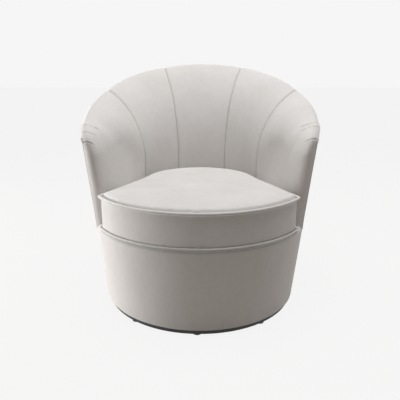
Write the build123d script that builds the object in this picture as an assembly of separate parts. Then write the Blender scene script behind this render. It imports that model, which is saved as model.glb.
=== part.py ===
from build123d import *
import os
from math import acos, atan, atan2, cos, degrees, exp, hypot, pi, radians, sin, sqrt

# A swivel tub chair: an upholstered drum and wrap-around back on a hidden turntable and plinth.
# Lengths are millimetres and angles are degrees. Angles round the chair start at the back
# and grow towards the sitter's left hand, which is +X.

# Outside shape: one cone from the skirt to the rim, cut by a sloping plane
skirt_height = 19.0
wall_at_skirt = 97.0  # from the seat's round back out to the skirt
flare = 0.11  # outward lean for each millimetre of height
back_height = 756.0
crest_ease = 8.0  # middle of the back's rim below the sloping plane
crest_angle = 35.0  # how far round that easing reaches
arm_height = 540.0
arm_edge = 108.0  # seam down the outside of each arm's front
arm_end = 113.0  # where the inside of each arm stops
strip_turn = 40.0  # how far the strip down the arm's front turns outward
rim_roll = 16.0  # radius of the rolled top edge

# Inside shape: a round back with straight splayed arms
seat_radius = 213.0
splay_start = 67.0  # where the round back turns into the straight arms
back_swell_height = 433.0  # where the back starts to roll outward
arm_swell_height = 420.0  # where the arms start to roll outward
nose_start = 107.0  # where the rounding of the arm's front starts
nose_inset = 8.0
nose_fall = 9.0
centre_seam = 23.0
side_seam = 63.0
station_angle = 9.0  # spacing of the sections that shape the wall
nose_steps = 4

# Layers of the wall, from the outside in
cover_thickness = 2.0
wadding_thickness = 5.4
board_thickness = 3.0
post_thickness = 20.0
layer_gap = 0.3
foam_gap = 0.5

# Frame
hoop_drop = 36.0  # sloping plane of the rim down to the top of the hoop
hoop_thickness = 18.0
base_board_thickness = 18.0
deck_ring_thickness = 18.0
deck_ring_lip = 23.0  # how far the deck ring reaches in past the wall
post_width_angle = 7.0
back_post_count = 5
back_post_spread = 76.0  # angle of the outermost back posts
arm_post_angle = 102.0
board_end = 107.0  # where the outside board and wadding stop
drum_post_count = 6
drum_post_width = 45.0
drum_post_depth = 30.0
drum_post_inset = 12.0  # base board's edge to the post
frame_screw_radius = 2.2
frame_screw_head_radius = 4.5
frame_screw_head = 3.0
frame_screw_length = 48.0

# Base and swivel
glide_height = 3.0
glide_radius = 13.0
glide_count = 9
glide_inset = 14.0  # plinth's edge to the middle of a glide
nail_radius = 1.6
nail_length = 18.0
nail_seat = 1.2  # glide's sole to the nail's end
plinth_setback = 8.0  # skirt's edge to the plinth's
plinth_thickness = 15.0
plinth_edge = 2.0
plate_thickness = 3.0
plate_gap = 5.0
lower_plate_side = 212.0
upper_plate_side = 246.0
plate_corner = 14.0
plate_hole_radius = 25.0
plate_screw_inset = 16.0
plate_screw_radius = 2.8
plate_screw_head_radius = 6.0
plate_screw_head = 3.0
plate_screw_length = 14.0
ball_radius = 4.0
ball_track_radius = 75.0
ball_count = 20
ball_clearance = 0.3
cage_width = 20.0
cage_thickness = 1.2
fit_clearance = 0.15  # round a screw or a nail
dust_cover_thickness = 0.8
dust_cover_margin = 4.0

# Seat deck
seat_floor = 270.0  # top of the deck that the cushion lies on
edge_pad_thickness = 10.0
spring_wire_radius = 1.8
spring_spacing = 66.0
spring_count = 5
spring_pitch = 22.0
spring_width = 44.0
spring_landing = 9.0  # how far a spring's end lies over the deck ring
clip_length = 20.0
clip_wall = 1.4
deck_cloth_thickness = 2.0
deck_margin = 1.5

# Seat cushion
cushion_overhang = 2.4  # how far the cushion's front stands out past the drum
cushion_gap = 1.5
cushion_lift = 0.3  # seat deck to the underside of the cushion
welt_radius = 3.5
seat_welt_height = 371.0
cushion_crown = 27.0
crown_steps = 8
crown_flatness = 4
crown_roundness = 0.6
side_steps = 4
cushion_draw = 3.6  # how far the sides draw in at the piping
cushion_corner = 16.0
cushion_centre = -62.0  # point in the plan that the cushion's outlines shrink towards
panel_thickness = 2.0

# Worked-out sizes
skirt_radius = seat_radius + wall_at_skirt
plinth_radius = skirt_radius - plinth_setback
deck_ring_bore = seat_radius - deck_ring_lip
lean = hypot(1, flare)
turn_axis = Axis((0, 0, 0), (0, 0, -1))


def outside_radius(height, depth=0.0):
    return skirt_radius + flare * (height - skirt_height) - depth * lean


# The rim plane slopes from the top of the back to the arm fronts.
plane_height = back_height + crest_ease
rim_rear = outside_radius(plane_height)
rim_front = outside_radius(arm_height) * cos(radians(arm_edge))
rim_slope = (plane_height - arm_height) / (rim_rear - rim_front)
rim_at_axis = plane_height - rim_slope * rim_rear

wadding_depth = cover_thickness + foam_gap
board_depth = wadding_depth + wadding_thickness + layer_gap
post_depth = board_depth + board_thickness + layer_gap
inner_board_depth = post_depth + post_thickness + layer_gap
foam_depth = inner_board_depth + board_thickness + layer_gap

plinth_top = glide_height + plinth_thickness
lower_plate_top = plinth_top + plate_thickness
upper_plate_base = lower_plate_top + plate_gap
base_board_base = upper_plate_base + plate_thickness
base_board_top = base_board_base + base_board_thickness
base_board_radius = outside_radius(base_board_base, post_depth)
edge_cover_base = seat_floor - cover_thickness
deck_ring_top = edge_cover_base - edge_pad_thickness
deck_ring_base = deck_ring_top - deck_ring_thickness
deck_ring_radius = outside_radius(deck_ring_base, post_depth)
wall_foot = deck_ring_top
ball_level = lower_plate_top + plate_gap / 2

# The frame's origin is under the middle of the chair's overall box.
cushion_front_radius = outside_radius(seat_floor) + cushion_overhang
cushion_front = cushion_front_radius + welt_radius
frame_shift = (cushion_front - rim_rear) / 2


def save(name, shape):
    export_step(Pos(0, frame_shift, 0) * shape, f"parts/{name}.step")


def save_group(name, shapes):
    save(name, Compound(children=list(shapes)))


def polar(radius, angle, height=0.0):
    return (radius * sin(radians(angle)), radius * cos(radians(angle)), height)


def radial_plane(angle):
    a = radians(angle)
    return Plane(origin=(0, 0, 0), x_dir=(sin(a), cos(a), 0), z_dir=(cos(a), -sin(a), 0))


def rim_plane(drop):
    normal = (0, -rim_slope, 1)
    return Plane(origin=(0, 0, rim_at_axis - drop), x_dir=(1, 0, 0), z_dir=normal)


def spaced(start, end, steps):
    return [start + (end - start) * i / steps for i in range(steps + 1)]


def ring_of(shape, count, radius, height, first=0.0):
    places = [first + 360 * i / count for i in range(count)]
    return [Pos(*polar(radius, a, height)) * Rot(0, 0, -a) * shape for a in places]


def cut(shape, tools):
    for tool in tools:
        shape = shape - tool
    return shape


def standing(radius, height):
    return Cylinder(radius, height, align=(Align.CENTER, Align.CENTER, Align.MIN))


def hanging(radius, height):
    return Cylinder(radius, height, align=(Align.CENTER, Align.CENTER, Align.MAX))


# Upholstered wall of the back and arms


def rim_height(angle):
    turn = cos(radians(angle))
    foot = skirt_radius - flare * skirt_height
    plane = (rim_at_axis + rim_slope * turn * foot) / (1 - rim_slope * turn * flare)
    return plane - crest_ease * exp(-((angle / crest_angle) ** 2))


def rounding(angle, start):
    share = max(0.0, (abs(angle) - start) / (arm_end - start))
    return 1 - sqrt(max(0.0, 1 - share**2))


def inside_radius(angle):
    splay = radians(max(0.0, abs(angle) - splay_start))
    return seat_radius / cos(splay) + nose_inset * rounding(angle, nose_start)


def on_circle(centre, radius, angle):
    return (centre[0] + radius * cos(angle), centre[1] + radius * sin(angle))


# Points and arcs of the wall's section at one angle, a given depth under its outer face
def wall_lines(angle, depth, foot):
    rise = rim_height(angle)
    top = rise - nose_fall * rounding(angle, nose_start)
    tip = (outside_radius(top - rim_roll, rim_roll), top - rim_roll)
    inner = inside_radius(angle)
    share = (rise - arm_height) / (back_height - arm_height)
    start = arm_swell_height + (back_swell_height - arm_swell_height) * share
    across = tip[0] - inner
    swell = ((tip[1] - start) ** 2 + across**2 - rim_roll**2) / (2 * (across - rim_roll))
    centre = (inner + swell, start)
    toward = atan2(tip[1] - centre[1], tip[0] - centre[0])
    out = -atan(flare)
    low = (inner + depth, foot)
    begin = (inner + depth, start)
    meet = on_circle(centre, swell - depth, toward)
    end = on_circle(tip, rim_roll - depth, out)
    swell_arc = ThreePointArc(begin, on_circle(centre, swell - depth, (pi + toward) / 2), meet)
    tip_arc = ThreePointArc(meet, on_circle(tip, rim_roll - depth, (toward + out) / 2), end)
    return low, begin, end, [Line(low, begin), swell_arc, tip_arc]


def wall_section(angle, depth, foot=wall_foot):
    low, begin, end, lines = wall_lines(angle, depth, foot)
    base = (outside_radius(foot, depth), foot)
    return radial_plane(angle) * make_face(lines + [Line(end, base), Line(base, low)])


def inside_cover_section(angle):
    low, begin, end, face_lines = wall_lines(angle, 0, wall_foot)
    back_low, back_begin, back_end, back_lines = wall_lines(angle, cover_thickness, wall_foot)
    ends = [Line(end, back_end), Line(back_low, low)]
    return radial_plane(angle) * make_face(face_lines + back_lines + ends)


def outside_cover_section(angle):
    end = wall_lines(angle, 0, wall_foot)[2]
    back_end = wall_lines(angle, cover_thickness, wall_foot)[2]
    base = (outside_radius(skirt_height), skirt_height)
    back_base = (outside_radius(skirt_height, cover_thickness), skirt_height)
    return radial_plane(angle) * make_face(Polyline(base, end, back_end, back_base, close=True))


# A smooth stretch of wall between two seams
def wall_run(section, start, end):
    steps = max(2, round((end - start) / station_angle))
    return loft([section(a) for a in spaced(start, end, steps)])


# The rounded front of the arm on the +X side
def wall_nose(section):
    turns = [pi / 2 * i / nose_steps for i in range(nose_steps + 1)]
    stations = [nose_start + (arm_end - nose_start) * sin(turn) for turn in turns]
    return loft([section(a) for a in stations], ruled=True)


# The plane of the strip down the front of the +X arm, a given depth behind its face
def strip_plane(depth):
    edge = radians(arm_edge)
    turn = radians(strip_turn)
    upward = Vector(flare * sin(edge), flare * cos(edge), 1)
    normal = upward.cross(Vector(-cos(turn), -sin(turn), 0)).normalized()
    origin = Vector(*polar(outside_radius(seat_floor), arm_edge, seat_floor)) - normal * depth
    return Plane(origin=origin, z_dir=normal)


# One arm on the +X side, cut back behind its front strip and clear of the drum's front edge
def arm_wall(section, depth):
    arm = wall_run(section, side_seam, nose_start) + wall_nose(section)
    arm = below(arm, strip_plane(depth))
    high = seat_floor + layer_gap
    reach = outside_radius(high, -rim_roll)
    edge = Polyline((seat_radius, wall_foot), (reach, wall_foot), (reach, high), (seat_radius, high), close=True)
    face = radial_plane(arm_edge) * make_face(edge)
    return arm - revolve(face, axis=turn_axis, revolution_arc=2 * (arm_end - arm_edge))


def both_sides(half, middle):
    return half + middle + mirror(half, about=Plane.YZ)


# The whole wall, shaped between the same seams as its covers
def whole_wall(section, depth):
    half = wall_run(section, centre_seam, side_seam) + arm_wall(section, depth)
    return both_sides(half, wall_run(section, -centre_seam, centre_seam))


def wall_ring(depth, thickness, low, high, start, end):
    section = [
        (outside_radius(low, depth + thickness), low),
        (outside_radius(low, depth), low),
        (outside_radius(high, depth), high),
        (outside_radius(high, depth + thickness), high),
    ]
    face = radial_plane(start) * make_face(Polyline(*section, close=True))
    return revolve(face, axis=turn_axis, revolution_arc=end - start)


def below(shape, plane):
    return split(shape, bisect_by=plane, keep=Keep.BOTTOM)


def above(shape, plane):
    return split(shape, bisect_by=plane, keep=Keep.TOP)


def facing_section(angle):
    return wall_section(angle, 0, seat_floor + layer_gap)


def make_wall_covers():
    arm = arm_wall(inside_cover_section, cover_thickness)
    side = wall_run(inside_cover_section, centre_seam, side_seam)
    save("left_arm_inside", arm)
    save("left_back_inside", side)
    save("centre_back_inside", wall_run(inside_cover_section, -centre_seam, centre_seam))
    save("right_back_inside", mirror(side, about=Plane.YZ))
    save("right_arm_inside", mirror(arm, about=Plane.YZ))
    outside = wall_run(outside_cover_section, centre_seam, side_seam)
    outside = outside + wall_run(outside_cover_section, side_seam, arm_edge)
    middle = wall_run(outside_cover_section, -centre_seam, centre_seam)
    save("outside_back_cover", both_sides(outside, middle))
    strip = above(wall_nose(facing_section), strip_plane(cover_thickness))
    facing = strip + extrude(facing_section(arm_end), amount=cover_thickness)
    facing = below(facing, strip_plane(0)) - outside
    save("left_arm_facing", facing)
    save("right_arm_facing", mirror(facing, about=Plane.YZ))


def padding_section(angle):
    return wall_section(angle, cover_thickness + foam_gap)


def make_wall_filling():
    padding = whole_wall(padding_section, cover_thickness + foam_gap)
    low = wall_foot - rim_roll
    room = wall_ring(-rim_roll, foam_depth + rim_roll, low, back_height, -board_end, board_end)
    save("inner_back_foam", padding - below(room, rim_plane(hoop_drop - layer_gap)))
    low = skirt_height + layer_gap
    wadding = wall_ring(wadding_depth, wadding_thickness, low, back_height, -board_end, board_end)
    save("outer_back_wadding", below(wadding, rim_plane(hoop_drop)))


def make_wall_frame():
    half_post = post_width_angle / 2
    frame_end = arm_post_angle + half_post
    hoop_base = hoop_drop + hoop_thickness
    hoop = wall_ring(post_depth, post_thickness, deck_ring_top, back_height, -frame_end, frame_end)
    save("rim_hoop", above(below(hoop, rim_plane(hoop_drop)), rim_plane(hoop_base)))
    inner = wall_ring(inner_board_depth, board_thickness, deck_ring_top, back_height, -frame_end, frame_end)
    save("inner_back_board", below(inner, rim_plane(hoop_drop)))
    low = skirt_height + cover_thickness
    outer = wall_ring(board_depth, board_thickness, low, back_height, -board_end, board_end)
    save("outer_back_board", below(outer, rim_plane(hoop_drop)))
    places = spaced(-back_post_spread, back_post_spread, back_post_count - 1)
    posts = {f"back_post_{i + 1}": place for i, place in enumerate(places)}
    posts |= {"right_arm_post": -arm_post_angle, "left_arm_post": arm_post_angle}
    for name, place in posts.items():
        start, end = place - half_post, place + half_post
        post = wall_ring(post_depth, post_thickness, deck_ring_top, back_height, start, end)
        save(name, below(post, rim_plane(hoop_base)))


# Drum under the seat


def make_apron():
    start, end = arm_edge, 360 - arm_edge
    inner = seat_radius - cushion_gap + layer_gap
    outer_low = outside_radius(skirt_height)
    outer_high = outside_radius(seat_floor)
    skin = cover_thickness * lean
    section = Polyline(
        (outer_low - skin, skirt_height),
        (outer_low, skirt_height),
        (outer_high, seat_floor),
        (inner, seat_floor),
        (inner, edge_cover_base),
        (outside_radius(edge_cover_base) - skin, edge_cover_base),
        close=True,
    )
    face = radial_plane(start) * make_face(section)
    save("apron_cover", revolve(face, axis=turn_axis, revolution_arc=end - start))
    low = skirt_height + layer_gap
    save("apron_wadding", wall_ring(wadding_depth, wadding_thickness, low, edge_cover_base, start, end))
    low = skirt_height + cover_thickness
    save("apron_board", wall_ring(board_depth, board_thickness, low, deck_ring_top, start, end))
    pad_edge = outside_radius(deck_ring_top, board_depth)
    pad = make_face(
        Polyline(
            (inner, deck_ring_top),
            (pad_edge, deck_ring_top),
            (pad_edge, edge_cover_base),
            (inner, edge_cover_base),
            close=True,
        )
    )
    pad = revolve(radial_plane(start) * pad, axis=turn_axis, revolution_arc=end - start)
    save("front_edge_pad", pad)


def make_drum_frame():
    post_ring = base_board_radius - drum_post_inset - drum_post_depth / 2
    board = Pos(0, 0, base_board_base) * standing(base_board_radius, base_board_thickness)
    ring = Pos(0, 0, deck_ring_base) * standing(deck_ring_radius, deck_ring_thickness)
    ring = ring - Pos(0, 0, deck_ring_base) * standing(deck_ring_bore, deck_ring_thickness)
    first = 180 / drum_post_count
    top_screw = hanging(frame_screw_head_radius, frame_screw_head)
    top_screw = top_screw + hanging(frame_screw_radius, frame_screw_length)
    top_hole = hanging(frame_screw_head_radius + fit_clearance, frame_screw_head + fit_clearance)
    top_hole = top_hole + hanging(frame_screw_radius + fit_clearance, frame_screw_length + fit_clearance)
    flip = Rot(180, 0, 0)
    top_holes = ring_of(top_hole, drum_post_count, post_ring, deck_ring_top, first)
    low_holes = ring_of(flip * top_hole, drum_post_count, post_ring, base_board_base, first)
    top_screws = ring_of(top_screw, drum_post_count, post_ring, deck_ring_top, first)
    low_screws = ring_of(flip * top_screw, drum_post_count, post_ring, base_board_base, first)
    save_group("frame_screws", top_screws + low_screws)
    save("deck_ring", cut(ring, top_holes))
    height = deck_ring_base - base_board_top
    post = Box(drum_post_width, drum_post_depth, height, align=(Align.CENTER, Align.CENTER, Align.MIN))
    posts = ring_of(post, drum_post_count, post_ring, base_board_top, first)
    for i, post in enumerate(posts):
        save(f"drum_post_{i + 1}", cut(post, [top_holes[i], low_holes[i]]))
    save("base_board", cut(board, low_holes + plate_screw_holes(upper_plate_side, base_board_base, 1)))
    sheet = Pos(0, 0, base_board_base - dust_cover_thickness) * standing(
        base_board_radius - dust_cover_margin, dust_cover_thickness
    )
    opening = upper_plate_side / sqrt(2) + dust_cover_margin
    hole = Pos(0, 0, base_board_base - dust_cover_thickness) * standing(opening, dust_cover_thickness)
    save("dust_cover", sheet - hole)


def make_deck():
    level = deck_ring_top + spring_wire_radius + layer_gap
    clips = []
    for i in range(spring_count):
        across = (i - (spring_count - 1) / 2) * spring_spacing
        reach = sqrt(deck_ring_bore**2 - (abs(across) + spring_width / 2) ** 2) + spring_landing
        spring, ends = zigzag(across, reach, level)
        save(f"seat_spring_{i + 1}", spring)
        clips += [Pos(across, end, deck_ring_top) * spring_clip() for end in ends]
    save_group("spring_clips", clips)
    cloth_base = deck_ring_top + spring_clip_height() + layer_gap
    radius = seat_radius - deck_margin
    save("deck_cloth", Pos(0, 0, cloth_base) * standing(radius, deck_cloth_thickness))
    pad_base = cloth_base + deck_cloth_thickness
    save("deck_pad", Pos(0, 0, pad_base) * standing(radius - deck_margin, seat_floor - pad_base))


# A flat zigzag spring: straight runs across, joined by half turns
def zigzag(across, reach, level):
    rows = 2 * round(reach / spring_pitch) + 1
    step = 2 * reach / (rows - 1)
    half = spring_width / 2 - step / 2
    edges = []
    for i in range(rows):
        y = -reach + i * step
        side = 1 if i % 2 == 0 else -1
        run = [(across - side * half, y, level), (across + side * half, y, level)]
        edges.append(Line(*run))
        if i < rows - 1:
            bulge = (across + side * (half + step / 2), y + step / 2, level)
            edges.append(ThreePointArc(run[1], bulge, (run[1][0], y + step, level)))
    path = Wire(edges)
    profile = Plane(origin=path @ 0, z_dir=path % 0) * Circle(spring_wire_radius)
    return sweep(profile, path=path), (-reach, reach)


def spring_clip_height():
    return 2 * (spring_wire_radius + layer_gap) + clip_wall


def spring_clip():
    room = 2 * (spring_wire_radius + layer_gap)
    flat = (Align.CENTER, Align.CENTER, Align.MIN)
    block = Box(clip_length, room + 2 * clip_wall, spring_clip_height(), align=flat)
    return block - Box(clip_length, room, room, align=flat)


# Base and swivel


def plate_screw_places(side):
    place = side / 2 - plate_screw_inset
    return [(x, y) for x in (-place, place) for y in (-place, place)]


# Holes for the screws of one plate; way is 1 for upward screws and -1 for downward ones
def plate_screw_holes(side, level, way):
    turn = Rot(180, 0, 0) if way < 0 else Rot(0, 0, 0)
    hole = turn * standing(plate_screw_radius + fit_clearance, plate_screw_length + fit_clearance)
    return [Pos(x, y, level) * hole for x, y in plate_screw_places(side)]


def plate_screw_set(side, face, way):
    turn = Rot(180, 0, 0) if way < 0 else Rot(0, 0, 0)
    shank = plate_screw_length + plate_thickness
    screw = turn * (standing(plate_screw_radius, shank) + hanging(plate_screw_head_radius, plate_screw_head))
    return [Pos(x, y, face) * screw for x, y in plate_screw_places(side)]


def swivel_plate(side, base):
    blank = extrude(RectangleRounded(side, side, plate_corner), amount=plate_thickness)
    plate = Pos(0, 0, base) * (blank - standing(plate_hole_radius, plate_thickness))
    bore = standing(plate_screw_radius + fit_clearance, plate_thickness)
    plate = cut(plate, [Pos(x, y, base) * bore for x, y in plate_screw_places(side)])
    return plate - Pos(0, 0, ball_level) * Torus(ball_track_radius, ball_radius + ball_clearance)


def make_base():
    plinth = Pos(0, 0, glide_height) * standing(plinth_radius, plinth_thickness)
    plinth = chamfer(plinth.edges().filter_by(GeomType.CIRCLE), plinth_edge)
    glide_ring = plinth_radius - glide_inset
    nail_hole = standing(nail_radius + fit_clearance, nail_length + fit_clearance)
    nail_holes = ring_of(nail_hole, glide_count, glide_ring, nail_seat, 180)
    glides = ring_of(standing(glide_radius, glide_height), glide_count, glide_ring, 0, 180)
    save_group("glides", [glide - hole for glide, hole in zip(glides, nail_holes)])
    nails = ring_of(standing(nail_radius, nail_length), glide_count, glide_ring, nail_seat, 180)
    save_group("glide_nails", nails)
    save("plinth", cut(plinth, nail_holes + plate_screw_holes(lower_plate_side, plinth_top, -1)))
    save("swivel_lower_plate", swivel_plate(lower_plate_side, plinth_top))
    save_group("lower_plate_screws", plate_screw_set(lower_plate_side, lower_plate_top, -1))
    save("swivel_upper_plate", swivel_plate(upper_plate_side, upper_plate_base))
    save_group("upper_plate_screws", plate_screw_set(upper_plate_side, upper_plate_base, 1))


def make_bearing():
    save_group("bearing_balls", ring_of(Sphere(ball_radius), ball_count, ball_track_radius, ball_level))
    base = ball_level - cage_thickness / 2
    cage = standing(ball_track_radius + cage_width / 2, cage_thickness)
    cage = Pos(0, 0, base) * (cage - standing(ball_track_radius - cage_width / 2, cage_thickness))
    pocket = standing(ball_radius + ball_clearance, cage_thickness)
    save("ball_cage", cut(cage, ring_of(pocket, ball_count, ball_track_radius, base)))


# Seat cushion: a round front, straight sides and a round back


def cushion_plan():
    rear = seat_radius - cushion_gap
    corner = splay_start + degrees(acos(rear / cushion_front_radius))
    side = polar(rear, splay_start)[:2]
    front = polar(cushion_front_radius, corner)[:2]
    mirrored = [(-side[0], side[1]), (-front[0], front[1])]
    edges = [
        ThreePointArc(mirrored[0], (0, rear), side),
        Line(side, front),
        ThreePointArc(front, (0, -cushion_front_radius), mirrored[1]),
        Line(mirrored[1], mirrored[0]),
    ]
    plan = make_face(edges)
    corners = plan.vertices().sort_by(Axis.Y)[:2]
    return Pos(0, -cushion_centre, 0) * fillet(corners, cushion_corner)


def cushion_slice(inset, height, share=1.0):
    plan = offset(cushion_plan(), amount=-inset) if inset else cushion_plan()
    return Pos(0, cushion_centre, height) * scale(plan, share)


# The sides bulge a little between the two lines of piping.
def cushion_sides(inset, low, high):
    levels = spaced(low, high, side_steps)
    draws = [cushion_draw * place**2 for place in spaced(-1, 1, side_steps)]
    return loft([cushion_slice(inset + draw, z) for z, draw in zip(levels, draws)])


# The top rises steeply from the piping and flattens towards the middle.
def cushion_dome(inset, base, crown):
    slices = []
    for i in range(crown_steps):
        share = 1 - (i / crown_steps) ** 2
        rise = crown * (1 - share**crown_flatness) ** crown_roundness
        slices.append(cushion_slice(inset, base + rise, share))
    return loft(slices, ruled=True)


def cushion_welt(height):
    path = cushion_slice(cushion_draw, height).face().outer_wire()
    profile = Plane(origin=path @ 0, z_dir=path % 0) * Circle(welt_radius)
    return sweep(profile, path=path)


def make_cushion():
    underside = seat_floor + cushion_lift
    low_welt = underside + welt_radius
    border_low = low_welt + welt_radius + layer_gap
    border_high = seat_welt_height - welt_radius - layer_gap
    inside_welt = cushion_draw + welt_radius + layer_gap
    bottom = extrude(cushion_slice(inside_welt, underside), amount=panel_thickness)
    save("cushion_bottom_panel", bottom)
    sides = cushion_sides(0, border_low, border_high)
    save("cushion_border", sides - cushion_sides(panel_thickness, border_low, border_high))
    dome_base = seat_welt_height - welt_radius
    dome = cushion_dome(inside_welt, dome_base, cushion_crown + welt_radius)
    save("cushion_top_panel", dome - Pos(0, 0, -panel_thickness) * dome)
    foam_low = underside + panel_thickness + layer_gap
    foam_drop = panel_thickness + foam_gap
    core = extrude(cushion_slice(inside_welt, foam_low), amount=dome_base - foam_drop - foam_low)
    save("cushion_foam", core + Pos(0, 0, -foam_drop) * dome)
    save("cushion_bottom_welt", cushion_welt(low_welt))
    save("cushion_top_welt", cushion_welt(seat_welt_height))


os.makedirs("parts", exist_ok=True)
make_base()
make_bearing()
make_drum_frame()
make_deck()
make_apron()
make_wall_frame()
make_wall_filling()
make_wall_covers()
make_cushion()
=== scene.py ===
from math import acos, atan, atan2, cos, degrees, exp, hypot, pi, radians, sin, tan

import bmesh
import bpy
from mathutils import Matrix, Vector, noise
from mathutils.kdtree import KDTree


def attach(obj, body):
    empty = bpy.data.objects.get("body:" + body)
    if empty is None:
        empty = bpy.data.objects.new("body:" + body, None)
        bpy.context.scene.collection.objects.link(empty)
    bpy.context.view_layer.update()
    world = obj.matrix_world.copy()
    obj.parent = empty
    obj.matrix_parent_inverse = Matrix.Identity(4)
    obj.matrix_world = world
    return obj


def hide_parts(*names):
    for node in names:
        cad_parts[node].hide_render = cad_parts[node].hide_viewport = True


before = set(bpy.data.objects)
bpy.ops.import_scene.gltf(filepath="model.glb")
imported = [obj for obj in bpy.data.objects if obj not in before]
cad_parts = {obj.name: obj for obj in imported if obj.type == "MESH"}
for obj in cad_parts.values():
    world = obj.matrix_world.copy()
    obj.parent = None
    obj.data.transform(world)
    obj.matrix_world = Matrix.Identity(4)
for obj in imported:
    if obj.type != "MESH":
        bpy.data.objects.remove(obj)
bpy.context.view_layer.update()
scene = bpy.context.scene
scene.view_settings.view_transform = "Standard"
print("frame loaded")

# the tub's own measures, in metres and degrees; angles run from the middle of the back
tub = dict(
    axisY=-0.02422, skirtZ=0.019, skirtRadius=0.310, flare=0.11,
    backHeight=0.756, crestEase=0.008, crestAngle=35, armHeight=0.540, rimRoll=0.016, seatRadius=0.213,
    splayStart=67, armSwell=0.420, backSwell=0.433, armEdge=108, centreSeam=23, sideSeam=63,
    armLean=12.5, leanStart=58, leanFull=94, leanFoot=0.372, shoulderDrop=0.08,
    armCrown=0.012, crownAngle=101, crownSpread=6, floorZ=0.2706, seatZ=0.270, lap=0.0023,
    # shares of a panel's height
    uprightShare=0.16, swellShare=0.7, underShare=0.86, underReach=0.1, lapShare=0.9,
)


def outsideRadius(z):
    return tub["skirtRadius"] + tub["flare"] * (z - tub["skirtZ"])


# the rim slopes in one plane to the arm fronts, and the middle of the back is eased down from it
rimFront = cos(radians(tub["armEdge"])) * outsideRadius(tub["armHeight"])
planeHeight = tub["backHeight"] + tub["crestEase"]
rimBack = outsideRadius(planeHeight)
rimSlope = (planeHeight - tub["armHeight"]) / (rimBack - rimFront)
rimMiddle = planeHeight - rimSlope * rimBack
skirtApex = tub["skirtRadius"] - tub["flare"] * tub["skirtZ"]


def rimHeight(angle):
    across = rimSlope * cos(radians(angle))
    plane = (rimMiddle + across * skirtApex) / (1 - across * tub["flare"])
    crown = tub["armCrown"] * exp(-((abs(angle) - tub["crownAngle"]) / tub["crownSpread"]) ** 2)
    return plane + crown - tub["crestEase"] * exp(-(angle / tub["crestAngle"]) ** 2)


def place(radius, angle, z):
    turn = radians(angle)
    return Vector((radius * sin(turn), radius * cos(turn) + tub["axisY"], z))


def easeStep(value):
    value = min(1, max(0, value))
    return value * value * (3 - 2 * value)


def wallPoint(angle, share):
    # up the inside of the wall: upright or leaning back at the arms, then a wide swell and the rim's roll
    inner = tub["seatRadius"] / cos(radians(max(0, abs(angle) - tub["splayStart"])))
    top = rimHeight(angle)
    lift = (top - tub["armHeight"]) / (tub["backHeight"] - tub["armHeight"])
    atArm = easeStep((abs(angle) - tub["leanStart"]) / (tub["leanFull"] - tub["leanStart"]))
    start = tub["armSwell"] + (tub["backSwell"] - tub["armSwell"]) * lift
    start += (top - tub["shoulderDrop"] - start) * atArm
    lean = radians(tub["armLean"]) * atArm
    foot = tub["leanFoot"]
    roll = tub["rimRoll"]
    outward = atan(tub["flare"])
    tipZ = top - roll
    tipR = outsideRadius(tipZ) - roll / cos(outward)
    startR = inner + tan(lean) * (start - foot)
    gapR, gapZ = tipR - startR, tipZ - start
    swell = (gapR ** 2 + gapZ ** 2 - roll ** 2) / (2 * (gapR * cos(lean) - gapZ * sin(lean) - roll))
    middleR, middleZ = startR + swell * cos(lean), start - swell * sin(lean)
    toward = atan2(tipZ - middleZ, tipR - middleR)  # the swell ends where the roll takes over
    upright, swelled, lapped = tub["uprightShare"], tub["swellShare"], tub["lapShare"]
    if share < upright:
        z = tub["floorZ"] + (start - tub["floorZ"]) * share / upright
        return place(inner + tan(lean) * max(0, z - foot), angle, z)
    if share < swelled:
        sweep = pi - lean + (toward - pi + lean) * (share - upright) / (swelled - upright)
        return place(middleR + swell * cos(sweep), angle, middleZ + swell * sin(sweep))
    sweep = toward + (-outward - toward) * (share - swelled) / (1 - swelled)
    roll -= tub["lap"] * easeStep((share - lapped) / (1 - lapped))  # it ends under the outside cover
    return place(tipR + roll * cos(sweep), angle, tipZ + roll * sin(sweep))


def towardSeams(u, bunch):
    # closer columns at both ends
    return u - bunch * sin(2 * pi * u) / (2 * pi)


# materials: shared groups first, then one finish for each real stuff
def addNode(tree, kind, values=None, **settings):
    node = tree.nodes.new(kind)
    for key, value in settings.items():
        setattr(node, key, value)
    for key, value in (values or {}).items():
        node.inputs[key].default_value = value
    return node


def startMaterial(name):
    material = bpy.data.materials.new(name)
    material.use_nodes = True
    return material, material.node_tree, material.node_tree.nodes["Principled BSDF"]


def startGroup(name, inputs, outputs):
    group = bpy.data.node_groups.new(name, "ShaderNodeTree")
    for label, value in inputs:
        socket = group.interface.new_socket(label, in_out="INPUT", socket_type="NodeSocketFloat")
        socket.default_value = value
    for label in outputs:
        group.interface.new_socket(label, in_out="OUTPUT", socket_type="NodeSocketFloat")
    return group, group.nodes.new("NodeGroupInput"), group.nodes.new("NodeGroupOutput")


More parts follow.
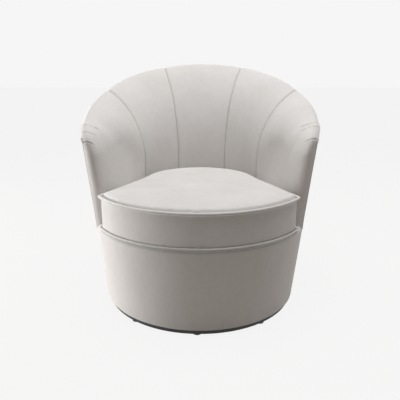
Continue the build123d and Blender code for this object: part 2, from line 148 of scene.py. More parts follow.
def buildNap():
    # brushed pile: broad shading, small mottles and a fine fibre height
    group, given, result = startGroup(
        "brushedPile", [("Broad", 9.0), ("Mottle", 75.0), ("Fibre", 1500.0)], ["Tone", "Height"])
    join = group.links.new
    where = addNode(group, "ShaderNodeTexCoord")
    stretch = addNode(group, "ShaderNodeMapping", {"Scale": (1.0, 1.0, 0.55)})
    join(where.outputs["Object"], stretch.inputs["Vector"])
    broad = addNode(group, "ShaderNodeTexNoise", {"Detail": 2.0, "Roughness": 0.5})
    mottle = addNode(group, "ShaderNodeTexNoise", {"Detail": 5.0, "Roughness": 0.62})
    fibre = addNode(group, "ShaderNodeTexNoise", {"Detail": 2.0, "Roughness": 0.7})
    for texture, label in ((broad, "Broad"), (mottle, "Mottle"), (fibre, "Fibre")):
        join(given.outputs[label], texture.inputs["Scale"])
        join(stretch.outputs["Vector"], texture.inputs["Vector"])
    blend = addNode(group, "ShaderNodeMath", {1: 0.55}, operation="MULTIPLY")
    total = addNode(group, "ShaderNodeMath", {1: 0.45}, operation="MULTIPLY_ADD")
    join(broad.outputs["Fac"], blend.inputs[0])
    join(mottle.outputs["Fac"], total.inputs[0])
    join(blend.outputs[0], total.inputs[2])
    join(total.outputs[0], result.inputs["Tone"])
    depth = addNode(group, "ShaderNodeMath", {1: 0.35}, operation="MULTIPLY_ADD")
    join(mottle.outputs["Fac"], depth.inputs[0])
    join(fibre.outputs["Fac"], depth.inputs[2])
    join(depth.outputs[0], result.inputs["Height"])
    return group


def buildWeave():
    # plain woven cloth: two crossed sets of threads with a little slub
    group, given, result = startGroup(
        "plainWeave", [("Threads", 900.0), ("Slub", 40.0)], ["Tone", "Height"])
    join = group.links.new
    where = addNode(group, "ShaderNodeTexCoord")
    warp = addNode(group, "ShaderNodeTexWave", {"Distortion": 0.6}, bands_direction="X")
    weft = addNode(group, "ShaderNodeTexWave", {"Distortion": 0.6}, bands_direction="Y")
    slub = addNode(group, "ShaderNodeTexNoise", {"Detail": 3.0})
    for texture in (warp, weft):
        join(given.outputs["Threads"], texture.inputs["Scale"])
        join(where.outputs["Object"], texture.inputs["Vector"])
    join(given.outputs["Slub"], slub.inputs["Scale"])
    join(where.outputs["Object"], slub.inputs["Vector"])
    crossing = addNode(group, "ShaderNodeMath", operation="MAXIMUM")
    join(warp.outputs["Fac"], crossing.inputs[0])
    join(weft.outputs["Fac"], crossing.inputs[1])
    join(crossing.outputs[0], result.inputs["Height"])
    tone = addNode(group, "ShaderNodeMath", {1: 0.3}, operation="MULTIPLY_ADD")
    join(crossing.outputs[0], tone.inputs[0])
    join(slub.outputs["Fac"], tone.inputs[2])
    join(tone.outputs[0], result.inputs["Tone"])
    return group


def buildScuffs():
    # worn patches and fine specks, for paint, metal and plastic
    group, given, result = startGroup(
        "scuffs", [("Patches", 22.0), ("Specks", 420.0)], ["Wear", "Height"])
    join = group.links.new
    where = addNode(group, "ShaderNodeTexCoord")
    patches = addNode(group, "ShaderNodeTexNoise", {"Detail": 6.0, "Roughness": 0.6})
    specks = addNode(group, "ShaderNodeTexNoise", {"Detail": 2.0})
    for texture, label in ((patches, "Patches"), (specks, "Specks")):
        join(given.outputs[label], texture.inputs["Scale"])
        join(where.outputs["Object"], texture.inputs["Vector"])
    mix = addNode(group, "ShaderNodeMath", {1: 0.3}, operation="MULTIPLY_ADD")
    join(specks.outputs["Fac"], mix.inputs[0])
    join(patches.outputs["Fac"], mix.inputs[2])
    join(mix.outputs[0], result.inputs["Wear"])
    join(specks.outputs["Fac"], result.inputs["Height"])
    return group


def buildGrain():
    # long wood grain with pores, along the height of the piece
    group, given, result = startGroup(
        "woodGrain", [("Rings", 26.0), ("Pores", 320.0)], ["Tone", "Height"])
    join = group.links.new
    where = addNode(group, "ShaderNodeTexCoord")
    along = addNode(group, "ShaderNodeMapping", {"Scale": (1.0, 1.0, 0.09)})
    join(where.outputs["Object"], along.inputs["Vector"])
    rings = addNode(group, "ShaderNodeTexWave", {"Distortion": 5.0, "Detail": 3.0, "Detail Scale": 1.4})
    pores = addNode(group, "ShaderNodeTexNoise", {"Detail": 4.0, "Roughness": 0.65})
    for texture, label in ((rings, "Rings"), (pores, "Pores")):
        join(given.outputs[label], texture.inputs["Scale"])
        join(along.outputs["Vector"], texture.inputs["Vector"])
    tone = addNode(group, "ShaderNodeMath", {1: 0.5}, operation="MULTIPLY_ADD")
    join(pores.outputs["Fac"], tone.inputs[0])
    half = addNode(group, "ShaderNodeMath", {1: 0.5}, operation="MULTIPLY")
    join(rings.outputs["Fac"], half.inputs[0])
    join(half.outputs[0], tone.inputs[2])
    join(tone.outputs[0], result.inputs["Tone"])
    join(pores.outputs["Fac"], result.inputs["Height"])
    return group


napGroup, weaveGroup, scuffGroup, grainGroup = buildNap(), buildWeave(), buildScuffs(), buildGrain()


toneSpan = (0.3, 0.7)  # most of a group's tone lies in here


def surfaceMaterial(name, group, tone, dark, pale, low, high, bump, seam=None, inputs=None, **shader):
    # one finish: a group's tone picks the colour and roughness, its height makes the bump
    material, tree, principled = startMaterial(name)
    join = tree.links.new
    effect = addNode(tree, "ShaderNodeGroup", inputs, node_tree=group)
    colour = addNode(tree, "ShaderNodeValToRGB")
    first, last = colour.color_ramp.elements
    first.position, last.position = toneSpan
    first.color, last.color = (*dark, 1), (*pale, 1)
    join(effect.outputs[tone], colour.inputs["Fac"])
    shade = colour.outputs["Color"]
    # a vertex attribute mixes in a darker colour here: painted shade along the seams, in the tucks and
    # just inside the top piping
    if seam:
        line = addNode(tree, "ShaderNodeAttribute", attribute_name="seam")
        paintedShade = addNode(tree, "ShaderNodeMix", data_type="RGBA")
        paintedShade.inputs["B"].default_value = (*seam, 1)
        join(line.outputs["Fac"], paintedShade.inputs["Factor"])
        join(shade, paintedShade.inputs["A"])
        shade = paintedShade.outputs["Result"]
    join(shade, principled.inputs["Base Color"])
    rough = addNode(tree, "ShaderNodeMapRange", {
        "From Min": toneSpan[0], "From Max": toneSpan[1], "To Min": low, "To Max": high})
    join(effect.outputs[tone], rough.inputs["Value"])
    join(rough.outputs["Result"], principled.inputs["Roughness"])
    dents = addNode(tree, "ShaderNodeBump", {"Strength": bump[0], "Distance": bump[1]})
    join(effect.outputs["Height"], dents.inputs["Height"])
    join(dents.outputs["Normal"], principled.inputs["Normal"])
    for key, value in shader.items():
        principled.inputs[key.replace("_", " ")].default_value = value
    return material


# velvet, whose second, darker colour is painted shade for the seams, the tucks and the hollow inside the
# top piping
velvet = surfaceMaterial(
    "greyVelvet", napGroup, "Tone", (0.59, 0.572, 0.558), (0.66, 0.642, 0.63), 0.95, 0.8,
    (0.16, 0.0006), seam=(0.34, 0.325, 0.315),
    Sheen_Weight=0.18, Sheen_Roughness=0.4, Sheen_Tint=(1.0, 0.98, 0.96, 1), Specular_IOR_Level=0.2)
platformCloth = surfaceMaterial(
    "platformCloth", weaveGroup, "Tone", (0.36, 0.345, 0.33), (0.48, 0.46, 0.44), 0.95, 0.85,
    (0.3, 0.0004), inputs={"Threads": 420.0, "Slub": 30.0}, Specular_IOR_Level=0.2)
blackLining = surfaceMaterial(
    "blackLining", weaveGroup, "Tone", (0.012, 0.012, 0.013), (0.03, 0.03, 0.031), 0.95, 0.85,
    (0.3, 0.0004), inputs={"Threads": 520.0}, Specular_IOR_Level=0.3)
beechTimber = surfaceMaterial(
    "beechTimber", grainGroup, "Tone", (0.42, 0.26, 0.14), (0.62, 0.43, 0.26), 0.7, 0.5,
    (0.25, 0.0005))
pressedBoard = surfaceMaterial(
    "pressedBoard", scuffGroup, "Wear", (0.23, 0.145, 0.085), (0.36, 0.24, 0.15), 0.85, 0.7,
    (0.2, 0.0004), inputs={"Patches": 60.0, "Specks": 700.0})
zincSteel = surfaceMaterial(
    "zincSteel", scuffGroup, "Wear", (0.42, 0.42, 0.43), (0.62, 0.62, 0.63), 0.46, 0.26,
    (0.08, 0.0003), inputs={"Patches": 35.0, "Specks": 900.0}, Metallic=1.0)
blackPlinth = surfaceMaterial(
    "blackPlinth", scuffGroup, "Wear", (0.008, 0.0076, 0.008), (0.016, 0.015, 0.0155), 0.66, 0.5,
    (0.12, 0.0004), inputs={"Patches": 30.0, "Specks": 500.0})
glidePlastic = surfaceMaterial(
    "glidePlastic", scuffGroup, "Wear", (0.016, 0.016, 0.016), (0.034, 0.034, 0.034), 0.5, 0.36,
    (0.1, 0.0003), inputs={"Patches": 90.0, "Specks": 900.0})

nodeFinish = dict(
    plinth=blackPlinth, glides=glidePlastic, glide_nails=zincSteel, swivel_lower_plate=zincSteel,
    lower_plate_screws=zincSteel, swivel_upper_plate=zincSteel, upper_plate_screws=zincSteel,
    ball_cage=zincSteel, bearing_balls=zincSteel, frame_screws=zincSteel, spring_clips=zincSteel,
    dust_cover=blackLining, deck_cloth=blackLining,
    inner_back_board=pressedBoard, outer_back_board=pressedBoard, apron_board=pressedBoard,
)
for name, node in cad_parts.items():
    finish = nodeFinish.get(name)
    if name.startswith("seat_spring"):
        finish = zincSteel
    if name.endswith("foam") or name.endswith("pad") or name.endswith("wadding"):
        finish = platformCloth
    if name.startswith(("cushion", "apron_cover", "outside")) or name.endswith(("inside", "facing")):
        finish = velvet
    node.data.materials.clear()
    node.data.materials.append(finish or beechTimber)
print("materials ready")


def finishPiece(name, bm, body, material, slotName, *nodes):
    mesh = bpy.data.meshes.new(name)
    bm.to_mesh(mesh)
    bm.free()
    mesh.shade_smooth()
    mesh.materials.append(material)
    piece = bpy.data.objects.new(name, mesh)
    scene.collection.objects.link(piece)
    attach(piece, body)
    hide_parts(*nodes)
    return piece


def giveThickness(piece, thickness):
    wall = piece.modifiers.new("thickness", "SOLIDIFY")
    wall.thickness = thickness
    wall.offset = -1


def faceTowards(bm, inwards):
    # an open sheet is turned so that its faces look to the seat, or away from it
    bm.normal_update()
    total = 0
    for face in bm.faces:
        out = face.calc_center_median()
        total += face.normal.x * out.x + face.normal.y * (out.y - tub["axisY"])
    if (total > 0) == inwards:
        bmesh.ops.reverse_faces(bm, faces=bm.faces)
    bm.normal_update()


def applyLift(bm, lift):
    for vert in bm.verts:
        vert.co += vert.normal * vert[lift]


def soften(bm, verts):
    bmesh.ops.smooth_vert(bm, verts=verts, factor=0.5, use_axis_x=True, use_axis_y=True, use_axis_z=True)


def seamDip(distance, dip):
    return -dip["depth"] * exp(-(distance / dip["width"]) ** 2)


# inside panels of the back, between the upright seams
backPanel = dict(
    columns=56, rows=76, bunch=0.85, thickness=0.002, crown=0.0035, crownPower=0.7, crownEnd=0.95,
    ripple=0.0007, rippleSize=11, seam=dict(depth=0.0026, width=0.0036), line=0.0009,
)


def panelCrown(across, share, panel):
    # fullest in the middle, flat along the seams and at both ends
    sideways = max(0, 4 * across * (1 - across)) ** panel["crownPower"]
    return sideways * sin(pi * min(1, share / panel["crownEnd"])) ** 0.5


def panelLift(point, across, share, near, panel):
    wave = noise.noise(point * panel["rippleSize"]) + 0.5 * noise.noise(point * panel["rippleSize"] * 3)
    lift = panel["crown"] * panelCrown(across, share, panel) + panel["ripple"] * wave
    lift += seamDip(near, panel["seam"])
    # the outer end lies flat beneath the outside cover
    return lift * (1 - easeStep((share - tub["underShare"]) / tub["underReach"]))


def buildBackPanel(name, first, last, *nodes):
    bm = bmesh.new()
    lift = bm.verts.layers.float.new("lift")
    seam = bm.verts.layers.float.new("seam")
    bmesh.ops.create_grid(bm, x_segments=backPanel["columns"], y_segments=backPanel["rows"], size=1)
    for vert in bm.verts:
        across = towardSeams((vert.co.x + 1) / 2, backPanel["bunch"])
        share = (vert.co.y + 1) / 2
        angle = first + (last - first) * across
        vert.co = wallPoint(angle, share)
        radius = hypot(vert.co.x, vert.co.y - tub["axisY"])
        near = radius * radians(min(angle - first, last - angle))
        vert[lift] = panelLift(vert.co, across, share, near, backPanel)
        # a thin line of painted shade down each seam
        vert[seam] = exp(-(near / backPanel["line"]) ** 2)
    faceTowards(bm, True)
    applyLift(bm, lift)
    bm.verts.layers.float.remove(lift)
    piece = finishPiece(name, bm, "chair", velvet, "upholstery", *nodes)
    giveThickness(piece, backPanel["thickness"])


centreSeam, sideSeam = tub["centreSeam"], tub["sideSeam"]
buildBackPanel("centreBackPanel", -centreSeam, centreSeam, "centre_back_inside", "inner_back_foam")
buildBackPanel("leftBackPanel", centreSeam, sideSeam, "left_back_inside")
buildBackPanel("rightBackPanel", -sideSeam, -centreSeam, "right_back_inside")
print("back panels sewn")


# inside of each arm, carried round its front to the outside seam
armPanel = dict(
    columns=180, noseColumns=56, rows=112, bunch=0.8, noseBunch=1.5, thickness=0.002,
    crown=0.003, crownPower=1.2, crownEnd=0.95, ripple=0.0007, rippleSize=11,
    seam=dict(depth=0.0026, width=0.0036), line=0.0009, proud=0.0002, overlap=0.05,
    frontAngle=103, rimAngle=99.5, rimFrom=0.3, rimReach=0.3, probe=0.5, outsideTurn=42, bendDrop=0.4,
    level=0.3, topGap=0.010, footDrop=0.016, footShare=0.03, softening=5, softFrom=0.06,
    bead=dict(height=0.0009, at=0.0013, width=0.0009),
    leftTucks=(0.012, 0.045, 0.125), rightTucks=(0.038, 0.09, 0.142),  # along the crest and down the front
)
tuck = dict(
    depth=0.0024, width=0.0022, paintedShade=0.8, crestZ=0.545, behind=0.02, wander=0.004, wanderSize=25,
    innerX=0.306, innerFade=0.012, outerRadius=0.3665, outerFade=0.006,
    ridge=0.25, ridgePast=0.005, ridgeWidth=0.004,
)


def armOuterEdge(z):
    return place(outsideRadius(z) + armPanel["proud"], tub["armEdge"] + armPanel["overlap"], z)


def noseStartAngle(share):
    # low down the nose begins near the front, at the rim a little sooner
    rise = easeStep((share - armPanel["rimFrom"]) / armPanel["rimReach"])
    return armPanel["frontAngle"] + (armPanel["rimAngle"] - armPanel["frontAngle"]) * rise


def noseEnd(share):
    # height on the outer seam where this line of the panel ends
    level = armPanel["level"]
    top = tub["armHeight"] - armPanel["topGap"]
    if share <= level:
        return wallPoint(armPanel["frontAngle"], share).z
    low = wallPoint(armPanel["frontAngle"], level).z
    return low + (top - low) * ((share - level) / (1 - level))


def nosePoint(share, around):
    # a rounded nose: it leaves the inside along its own line and comes round to the outer seam
    angle = noseStartAngle(share)
    inner = wallPoint(angle, share)
    along = inner - wallPoint(angle - armPanel["probe"], share)
    outer = armOuterEdge(noseEnd(share))
    turn = radians(armPanel["outsideTurn"])
    back = Vector((-cos(turn), -sin(turn)))
    gap = outer - inner
    cross = along.x * back.y - along.y * back.x
    reach = max(0, (gap.x * back.y - gap.y * back.x) / cross)
    bend = inner + along * reach
    bend.z += (outer.z - bend.z) * armPanel["bendDrop"]
    point = inner * (1 - around) ** 2 + bend * 2 * around * (1 - around) + outer * around ** 2
    # its foot is tucked down beside the seat
    point.z -= armPanel["footDrop"] * max(0, 1 - share / armPanel["footShare"])
    return point


def creaseArm(bm, outward, seam, folds):
    # small folds across the crest, with painted shade in their hollows, and a bead along the outer seam
    bead = armPanel["bead"]
    for vert in bm.verts:
        forward = tub["axisY"] - vert.co.y
        if forward < -tuck["behind"]:
            continue
        fade = easeStep((vert.co.x - tuck["innerX"]) / tuck["innerFade"])
        fade *= easeStep((tuck["outerRadius"] - hypot(vert.co.x, forward)) / tuck["outerFade"])
        along = forward - (vert.co.z - tuck["crestZ"])
        along += tuck["wander"] * noise.noise(vert.co * tuck["wanderSize"])
        push = bead["height"] * exp(-((vert[outward] - bead["at"]) / bead["width"]) ** 2)
        for fold in folds:
            past = along - fold
            dent = fade * exp(-(past / tuck["width"]) ** 2)
            ridge = fade * exp(-((past - tuck["ridgePast"]) / tuck["ridgeWidth"]) ** 2)
            push += tuck["depth"] * (tuck["ridge"] * ridge - dent)
            # the hollow of each fold is darkened in colour: painted shade
            vert[seam] = max(vert[seam], tuck["paintedShade"] * dent)
        vert.co += vert.normal * push


def buildArmPanel(name, side, folds, *nodes):
    bm = bmesh.new()
    lift = bm.verts.layers.float.new("lift")
    outward = bm.verts.layers.float.new("outward")
    seam = bm.verts.layers.float.new("seam")
    columns, nose = armPanel["columns"], armPanel["noseColumns"]
    bmesh.ops.create_grid(bm, x_segments=columns + nose, y_segments=armPanel["rows"], size=1)
    for vert in bm.verts:
        column = (vert.co.x + 1) / 2 * (columns + nose)
        share = (vert.co.y + 1) / 2
        vert[outward] = 1  # far from the outer seam
        if column > columns + 0.01:
            around = 1 - (1 - (column - columns) / nose) ** armPanel["noseBunch"]
            vert.co = nosePoint(share, around)
            vert[outward] = (vert.co - nosePoint(share, 1)).length
            continue
        across = towardSeams(column / columns, armPanel["bunch"])
        angle = sideSeam + (noseStartAngle(share) - sideSeam) * across
        vert.co = wallPoint(angle, share)
        radius = hypot(vert.co.x, vert.co.y - tub["axisY"])
        near = radius * radians(angle - sideSeam)
        vert[lift] = panelLift(vert.co, across, share, near, armPanel)
        # a thin line of painted shade along the seam
        vert[seam] = exp(-(near / armPanel["line"]) ** 2)
    faceTowards(bm, True)
    applyLift(bm, lift)
    foremost = tub["axisY"] - armPanel["softFrom"]
    front = [vert for vert in bm.verts if vert.co.y < foremost and not vert.is_boundary]
    for step in range(armPanel["softening"]):
        soften(bm, front)
    bm.normal_update()
    creaseArm(bm, outward, seam, folds)
    if side < 0:
        bmesh.ops.scale(bm, verts=bm.verts, vec=(-1, 1, 1))
        bmesh.ops.reverse_faces(bm, faces=bm.faces)
    for layer in ("lift", "outward"):
        bm.verts.layers.float.remove(bm.verts.layers.float[layer])
    piece = finishPiece(name, bm, "chair", velvet, "upholstery", *nodes)
    giveThickness(piece, armPanel["thickness"])


buildArmPanel("leftArmPanel", 1, armPanel["leftTucks"], "left_arm_inside", "left_arm_facing")
buildArmPanel("rightArmPanel", -1, armPanel["rightTucks"], "right_arm_inside", "right_arm_facing")
print("arm panels sewn")


# outside cover, tight over the back and sides, and the plain front below the seat
outsideCover = dict(
    columns=150, rows=60, bunch=0.75, thickness=0.002, hem=0.002, hemShare=0.08, topShare=0.95,
    ripple=0.0006, rippleSize=8, calm=0.03,
)
apron = dict(
    columns=90, rows=88, bunch=0.5, wallShare=0.72, edgeShare=0.82,
    across=0.022, down=0.013, ledgeRadius=0.212,
)


def drumPoint(angle, share, rows):
    # a turned-under hem at the floor end, then straight up the flared drum
    low, high = rows
    hem, turned = outsideCover["hem"], outsideCover["hemShare"]
    if share < turned:
        sweep = pi / 2 * (1 - share / turned)
        radius = outsideRadius(low + hem) - hem + hem * cos(sweep)
        return place(radius, angle, low + hem - hem * sin(sweep))
    z = low + hem + (high - low - hem) * (share - turned) / (1 - turned)
    return place(outsideRadius(z), angle, z)


def buildOutsideCover():
    bm = bmesh.new()
    lift = bm.verts.layers.float.new("lift")
    bmesh.ops.create_grid(bm, x_segments=outsideCover["columns"], y_segments=outsideCover["rows"], size=1)
    for vert in bm.verts:
        angle = tub["armEdge"] * (2 * towardSeams((vert.co.x + 1) / 2, outsideCover["bunch"]) - 1)
        share = (vert.co.y + 1) / 2
        top = wallPoint(angle, outsideCover["topShare"]).z
        vert.co = drumPoint(angle, share, (tub["skirtZ"], top))
        near = outsideRadius(vert.co.z) * radians(tub["armEdge"] - abs(angle))
        wave = noise.noise(vert.co * outsideCover["rippleSize"])
        vert[lift] = outsideCover["ripple"] * wave * min(1, near / outsideCover["calm"])
    faceTowards(bm, False)
    applyLift(bm, lift)
    bm.verts.layers.float.remove(lift)
    nodes = ("outside_back_cover", "outer_back_wadding")
    piece = finishPiece("outsideCover", bm, "chair", velvet, "upholstery", *nodes)
    giveThickness(piece, outsideCover["thickness"])


def buildApron():
    bm = bmesh.new()
    lift = bm.verts.layers.float.new("lift")
    bmesh.ops.create_grid(bm, x_segments=apron["columns"], y_segments=apron["rows"], size=1)
    across, down = apron["across"], apron["down"]
    wall, edge = apron["wallShare"], apron["edgeShare"]
    top = tub["seatZ"] - down
    edgeRadius = outsideRadius(top) - across
    for vert in bm.verts:
        angle = 180 + (180 - tub["armEdge"]) * (2 * towardSeams((vert.co.x + 1) / 2, apron["bunch"]) - 1)
        share = (vert.co.y + 1) / 2
        if share < wall:
            vert.co = drumPoint(angle, share / wall, (tub["skirtZ"], top))
            vert[lift] = outsideCover["ripple"] * noise.noise(vert.co * outsideCover["rippleSize"])
        elif share < edge:
            sweep = pi / 2 * (share - wall) / (edge - wall)
            vert.co = place(edgeRadius + across * cos(sweep), angle, top + down * sin(sweep))
        else:
            inwards = (share - edge) / (1 - edge)
            radius = edgeRadius + (apron["ledgeRadius"] - edgeRadius) * inwards
            vert.co = place(radius, angle, tub["seatZ"])
    faceTowards(bm, False)
    applyLift(bm, lift)
    bm.verts.layers.float.remove(lift)
    nodes = ("apron_cover", "apron_wadding", "front_edge_pad")
    piece = finishPiece("frontApron", bm, "chair", velvet, "upholstery", *nodes)
    giveThickness(piece, outsideCover["thickness"])


buildOutsideCover()
buildApron()
print("drum covered")


# loose seat cushion
cushion = dict(
    rearRadius=0.2115, frontRadius=0.34001, corner=0.016, sideTurn=67, draw=0.0036,
    lowWelt=0.2738, topWelt=0.371, topRadius=0.0042, lowRadius=0.0033, weltSteps=48, weltRound=5,
    voxel=0.0055, merge=0.00001, pressure=4.0, quality=6, frames=20, cap=0.0078,
    pinBand=0.005, pinReach=0.013, pinSteps=60, edgeSteps=90,
    recess=0.0065, lowRecess=0.4, recessReach=0.006, bulge=0.003, deckGap=0.0006,
    paintedShade=0.2, paintedShadeAt=0.005, paintedShadeWidth=0.003, topFrom=0.001,
    frontRoll=0.0112, rollStart=0.0025, rollReach=0.0105, frontRise=0.08,
    fullTop=0.3975, fullReach=0.06, fullPower=2.5, fullFrom=-0.01, fullBlend=0.12,
)


def cushionEdge(inset, count):
    # the plan of the cushion: round back, straight sides along the arms, small corners, round front
    rear, front = cushion["rearRadius"] - inset, cushion["frontRadius"] - inset
    corner = cushion["corner"] - inset
    turn = radians(cushion["sideTurn"])
    cornerTurn = turn + acos((rear - corner) / (front - corner))
    middle = Vector((sin(cornerTurn), cos(cornerTurn))) * (front - corner)
    half = []
    for step in range(count):
        a = turn * step / count
        half.append(Vector((rear * sin(a), rear * cos(a))))
    sideEnd = middle + Vector((sin(turn), cos(turn))) * corner
    sideStart = Vector((sin(turn), cos(turn))) * rear
    for step in range(count // 3):
        half.append(sideStart.lerp(sideEnd, step / (count // 3)))
    for step in range(count // 3):
        a = turn + (cornerTurn - turn) * step / (count // 3)
        half.append(middle + Vector((sin(a), cos(a))) * corner)
    for step in range(count + 1):
        a = cornerTurn + (pi - cornerTurn) * step / count
        half.append(Vector((front * sin(a), front * cos(a))))
    other = [Vector((-point.x, point.y)) for point in reversed(half[1:-1])]
    return [Vector((point.x, point.y + tub["axisY"], 0)) for point in half + other]


def shapeCushionEdge(vert, nearest):
    # full against the back, rolled down to its piping at the front, and drawn in along both sewn lines;
    # the value it returns is painted shade for a thin band just inside the top piping
    top = cushion["topWelt"]
    out = Vector((vert.co.x, vert.co.y - tub["axisY"], 0))
    inside = (Vector((vert.co.x, vert.co.y, 0)) - nearest).length
    if out.length > Vector((nearest.x, nearest.y - tub["axisY"], 0)).length:
        inside = -inside
    room = max(0, inside)
    if vert.co.z > top + cushion["topFrom"]:
        rise = 1 - (1 - min(1, room / cushion["fullReach"])) ** cushion["fullPower"]
        full = max(vert.co.z, top + (cushion["fullTop"] - top) * rise)
        past = max(0, room - cushion["rollStart"])
        rolled = top + cushion["frontRoll"] * (1 - exp(-past / cushion["rollReach"]))
        rolled = min(full, rolled + cushion["frontRise"] * past)
        rear = easeStep((vert.co.y - tub["axisY"] - cushion["fullFrom"]) / cushion["fullBlend"])
        vert.co.z = rolled + (full - rolled) * rear
    limit = -cushion["bulge"]
    lowRecess = cushion["recess"] * cushion["lowRecess"]
    for weltZ, recess in ((top, cushion["recess"]), (cushion["lowWelt"], lowRecess)):
        limit += recess * exp(-((vert.co.z - weltZ) / cushion["recessReach"]) ** 2)
    vert.co -= out.normalized() * max(0, limit - inside)
    vert.co.z = max(vert.co.z, tub["seatZ"] + cushion["deckGap"])  # it rests flat on the deck
    if vert.co.z <= top:
        return 0
    # painted shade in a thin band just inside the top piping
    return cushion["paintedShade"] * exp(-((room - cushion["paintedShadeAt"]) / cushion["paintedShadeWidth"]) ** 2)


def bakeModifiers(piece):
    view = bpy.context.evaluated_depsgraph_get()
    baked = bpy.data.meshes.new_from_object(piece.evaluated_get(view))
    old = piece.data
    piece.modifiers.clear()
    piece.data = baked
    baked.name = piece.name
    bpy.data.meshes.remove(old)


def swellCushion(piece):
    # cloth under pressure, held along its two sewn lines
    rest = [vert.co.copy() for vert in piece.data.vertices]
    edge = cushionEdge(cushion["draw"], cushion["pinSteps"])
    held = []
    for index, point in enumerate(rest):
        level = min(abs(point.z - cushion["lowWelt"]), abs(point.z - cushion["topWelt"]))
        if level < cushion["pinBand"]:
            reach = min((Vector((point.x, point.y, 0)) - corner).length for corner in edge)
            if reach < cushion["pinReach"]:
                held.append(index)
    pins = piece.vertex_groups.new(name="sewn")
    pins.add(held, 1.0, "REPLACE")
    cloth = piece.modifiers.new("swell", "CLOTH")
    cloth.settings.use_pressure = True
    cloth.settings.uniform_pressure_force = cushion["pressure"]
    cloth.settings.effector_weights.gravity = 0
    cloth.settings.vertex_group_mass = "sewn"
    cloth.settings.quality = cushion["quality"]
    cloth.point_cache.frame_end = cushion["frames"]
    for step in range(1, cushion["frames"] + 1):
        scene.frame_set(step)
    bakeModifiers(piece)
    for vert, old in zip(piece.data.vertices, rest):
        move = vert.co - old
        if move.length > cushion["cap"]:
            vert.co = old + move * (cushion["cap"] / move.length)
    scene.frame_set(1)


def buildCushion():
    # the foam's own form is blown up against its two sewn lines
    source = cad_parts["cushion_foam"]
    mesh = source.data.copy()
    bm = bmesh.new()
    bm.from_mesh(mesh)
    bmesh.ops.remove_doubles(bm, verts=bm.verts, dist=cushion["merge"])
    bm.to_mesh(mesh)
    bm.free()
    mesh.name = "seatCushion"
    mesh.materials.clear()
    mesh.materials.append(velvet)
    piece = bpy.data.objects.new("seatCushion", mesh)
    scene.collection.objects.link(piece)
    remesh = piece.modifiers.new("remesh", "REMESH")
    remesh.mode = "VOXEL"
    remesh.voxel_size = cushion["voxel"]
    bakeModifiers(piece)
    swellCushion(piece)
    bm = bmesh.new()
    bm.from_mesh(piece.data)
    seam = bm.verts.layers.float.new("seam")
    soften(bm, bm.verts)
    line = cushionEdge(cushion["draw"], cushion["edgeSteps"])
    near = KDTree(len(line))
    for index, point in enumerate(line):
        near.insert(point, index)
    near.balance()
    for vert in bm.verts:
        vert[seam] = shapeCushionEdge(vert, near.find((vert.co.x, vert.co.y, 0))[0])
    bm.to_mesh(piece.data)
    bm.free()
    piece.data.shade_smooth()
    fine = piece.modifiers.new("fine", "SUBSURF")
    fine.levels = 1
    fine.render_levels = 1
    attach(piece, "cushion")
    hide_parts("cushion_foam", "cushion_top_panel", "cushion_border", "cushion_bottom_panel")


def buildWelt(name, z, radius, node):
    # fabric-wrapped piping sewn round the cushion
    path = bpy.data.curves.new(name, "CURVE")
    path.dimensions = "3D"
    path.bevel_depth = radius
    path.bevel_resolution = cushion["weltRound"]
    line = path.splines.new("POLY")
    points = cushionEdge(cushion["draw"], cushion["weltSteps"])
    line.points.add(len(points) - 1)
    for knot, point in zip(line.points, points):
        knot.co = (point.x, point.y, z, 1)
    line.use_cyclic_u = True
    tube = bpy.data.objects.new(name + "Path", path)
    scene.collection.objects.link(tube)
    view = bpy.context.evaluated_depsgraph_get()
    mesh = bpy.data.meshes.new_from_object(tube.evaluated_get(view))
    bpy.data.objects.remove(tube)
    bm = bmesh.new()
    bm.from_mesh(mesh)
    bpy.data.meshes.remove(mesh)
    finishPiece(name, bm, "cushion", velvet, "upholstery", node)


buildCushion()
buildWelt("topWelt", cushion["topWelt"], cushion["topRadius"], "cushion_top_welt")
buildWelt("lowWelt", cushion["lowWelt"], cushion["lowRadius"], "cushion_bottom_welt")
print("cushion filled")


# padded platform under the cushion
platform = dict(
    radius=0.2100, segments=72, top=0.2699, drop=0.006, rings=9, sag=0.0022, lip=0.002,
    clear=0.003, sideEnd=110, sideBlend=8, underNose=0.012, noseStart=100, noseBlend=6,
)


def buildPlatform():
    bm = bmesh.new()
    sides, wide = platform["segments"], platform["radius"]
    made = bmesh.ops.create_circle(bm, cap_ends=True, segments=sides, radius=wide)
    bmesh.ops.translate(bm, verts=made["verts"], vec=(0, tub["axisY"], platform["top"] - platform["drop"]))
    disc = bm.faces[:]
    bm.faces.ensure_lookup_table()
    raised = bmesh.ops.extrude_face_region(bm, geom=disc)
    upper = [item for item in raised["geom"] if isinstance(item, bmesh.types.BMVert)]
    bmesh.ops.translate(bm, verts=upper, vec=(0, 0, platform["drop"]))
    bm.faces.ensure_lookup_table()
    lid = max(bm.faces, key=lambda face: face.calc_center_median().z)
    step = platform["radius"] / (platform["rings"] + 2)
    for ring in range(platform["rings"]):
        bmesh.ops.inset_region(bm, faces=[lid], thickness=step, use_even_offset=True)
    bmesh.ops.recalc_face_normals(bm, faces=bm.faces)
    for vert in bm.verts:
        if vert.co.z > platform["top"] - 0.001:
            radius = hypot(vert.co.x, vert.co.y - tub["axisY"]) / platform["radius"]
            vert.co.z -= platform["sag"] * (1 - radius ** 2)
            if radius > 0.99:
                vert.co.z -= platform["lip"]
        # beside the arms it reaches out to the splayed walls
        side = degrees(atan2(abs(vert.co.x), vert.co.y - tub["axisY"]))
        turn = min(side, platform["sideEnd"])
        reach = tub["seatRadius"] / cos(radians(max(0, turn - tub["splayStart"]))) - platform["clear"]
        reach += platform["underNose"] * easeStep((turn - platform["noseStart"]) / platform["noseBlend"])
        back = easeStep((side - platform["sideEnd"]) / platform["sideBlend"])
        stretch = 1 + (reach / platform["radius"] - 1) * (1 - back)
        vert.co.x *= stretch
        vert.co.y = tub["axisY"] + (vert.co.y - tub["axisY"]) * stretch
    piece = finishPiece("seatPlatform", bm, "chair", platformCloth, "lining", "deck_pad")


buildPlatform()
print("platform laid")


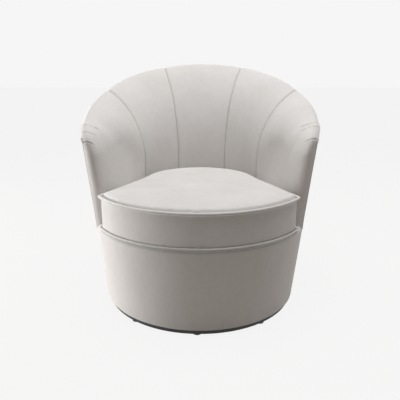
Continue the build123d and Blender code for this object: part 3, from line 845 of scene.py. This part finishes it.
# studio: pale floor, soft lamps and the camera
studio = dict(
    backdrop=0.921, ambient=(0.30, 0.286, 0.273),
    floorSize=30, floorGlow=0.98, floorShare=0.9,
    floorTone=(0.38, 0.35, 0.32), floorRough=0.9, floorShine=0.1,
    key=dict(at=(-2.3, 0.2, 0.25), toward=(0, 0, 0.3), size=(1.6, 0.5), power=62),
    top=dict(at=(0.1, -0.12, 2.6), toward=(0, 0, 0.4), size=(1.6, 1.6), power=47),
    side=dict(at=(2.3, 0.8, 0.22), toward=(0, 0, 0.3), size=(1.4, 0.4), power=11),
    camera=dict(away=1.458, height=0.713, turn=0.028, pitch=0.2643, lens=41.08, sensor=36, farthest=100),
)


def seenRay(tree):
    # 1 where the camera, a mirror or glass looks straight at the studio
    path = addNode(tree, "ShaderNodeLightPath")
    first = addNode(tree, "ShaderNodeMath", operation="ADD")
    second = addNode(tree, "ShaderNodeMath", operation="ADD", use_clamp=True)
    tree.links.new(path.outputs["Is Camera Ray"], first.inputs[0])
    tree.links.new(path.outputs["Is Glossy Ray"], first.inputs[1])
    tree.links.new(first.outputs[0], second.inputs[0])
    tree.links.new(path.outputs["Is Transmission Ray"], second.inputs[1])
    return second.outputs[0]


def buildFloor():
    bm = bmesh.new()
    bmesh.ops.create_grid(bm, x_segments=1, y_segments=1, size=studio["floorSize"])
    mesh = bpy.data.meshes.new("studioFloor")
    bm.to_mesh(mesh)
    bm.free()
    floor = bpy.data.objects.new("studioFloor", mesh)
    scene.collection.objects.link(floor)
    material, tree, principled = startMaterial("paleFloor")
    tone, pale = studio["floorTone"], studio["floorGlow"]
    principled.inputs["Base Color"].default_value = (*tone, 1)
    principled.inputs["Roughness"].default_value = studio["floorRough"]
    principled.inputs["Specular IOR Level"].default_value = studio["floorShine"]
    glow = addNode(tree, "ShaderNodeEmission", {"Color": (pale, pale, pale, 1), "Strength": 1.0})
    seen = seenRay(tree)
    share = addNode(tree, "ShaderNodeMath", {1: studio["floorShare"]}, operation="MULTIPLY")
    mix = addNode(tree, "ShaderNodeMixShader")
    tree.links.new(seen, share.inputs[0])
    tree.links.new(share.outputs[0], mix.inputs[0])
    tree.links.new(principled.outputs[0], mix.inputs[1])
    tree.links.new(glow.outputs[0], mix.inputs[2])
    tree.links.new(mix.outputs[0], tree.nodes["Material Output"].inputs["Surface"])
    mesh.materials.append(material)


def buildWorld():
    world = bpy.data.worlds.new("studioAir")
    world.use_nodes = True
    tree = world.node_tree
    back = tree.nodes["Background"]
    mix = addNode(tree, "ShaderNodeMix", data_type="RGBA")
    ambient, pale = studio["ambient"], studio["backdrop"]
    mix.inputs["A"].default_value = (*ambient, 1)
    mix.inputs["B"].default_value = (pale, pale, pale, 1)
    tree.links.new(seenRay(tree), mix.inputs["Factor"])
    tree.links.new(mix.outputs["Result"], back.inputs["Color"])
    scene.world = world


def hangLamp(name):
    lamp = studio[name]
    light = bpy.data.lights.new(name + "Lamp", "AREA")
    light.shape = "RECTANGLE"
    light.size, light.size_y = lamp["size"]
    light.energy = lamp["power"]
    holder = bpy.data.objects.new(name + "Lamp", light)
    holder.location = lamp["at"]
    aim = Vector(lamp["toward"]) - Vector(lamp["at"])
    holder.rotation_euler = aim.to_track_quat("-Z", "Y").to_euler()
    holder.visible_camera = False
    scene.collection.objects.link(holder)


def setCamera():
    view = studio["camera"]
    lens = bpy.data.cameras.new("frontCamera")
    lens.lens = view["lens"]
    lens.sensor_width = view["sensor"]
    lens.clip_end = view["farthest"]
    camera = bpy.data.objects.new("frontCamera", lens)
    across, ahead = view["away"] * sin(view["turn"]), view["away"] * cos(view["turn"])
    camera.location = (across, tub["axisY"] - ahead, view["height"])
    camera.rotation_euler = (pi / 2 - view["pitch"], 0, view["turn"])
    scene.collection.objects.link(camera)
    scene.camera = camera


buildFloor()
buildWorld()
for lampName in ("key", "top", "side"):
    hangLamp(lampName)
setCamera()
print("studio set")
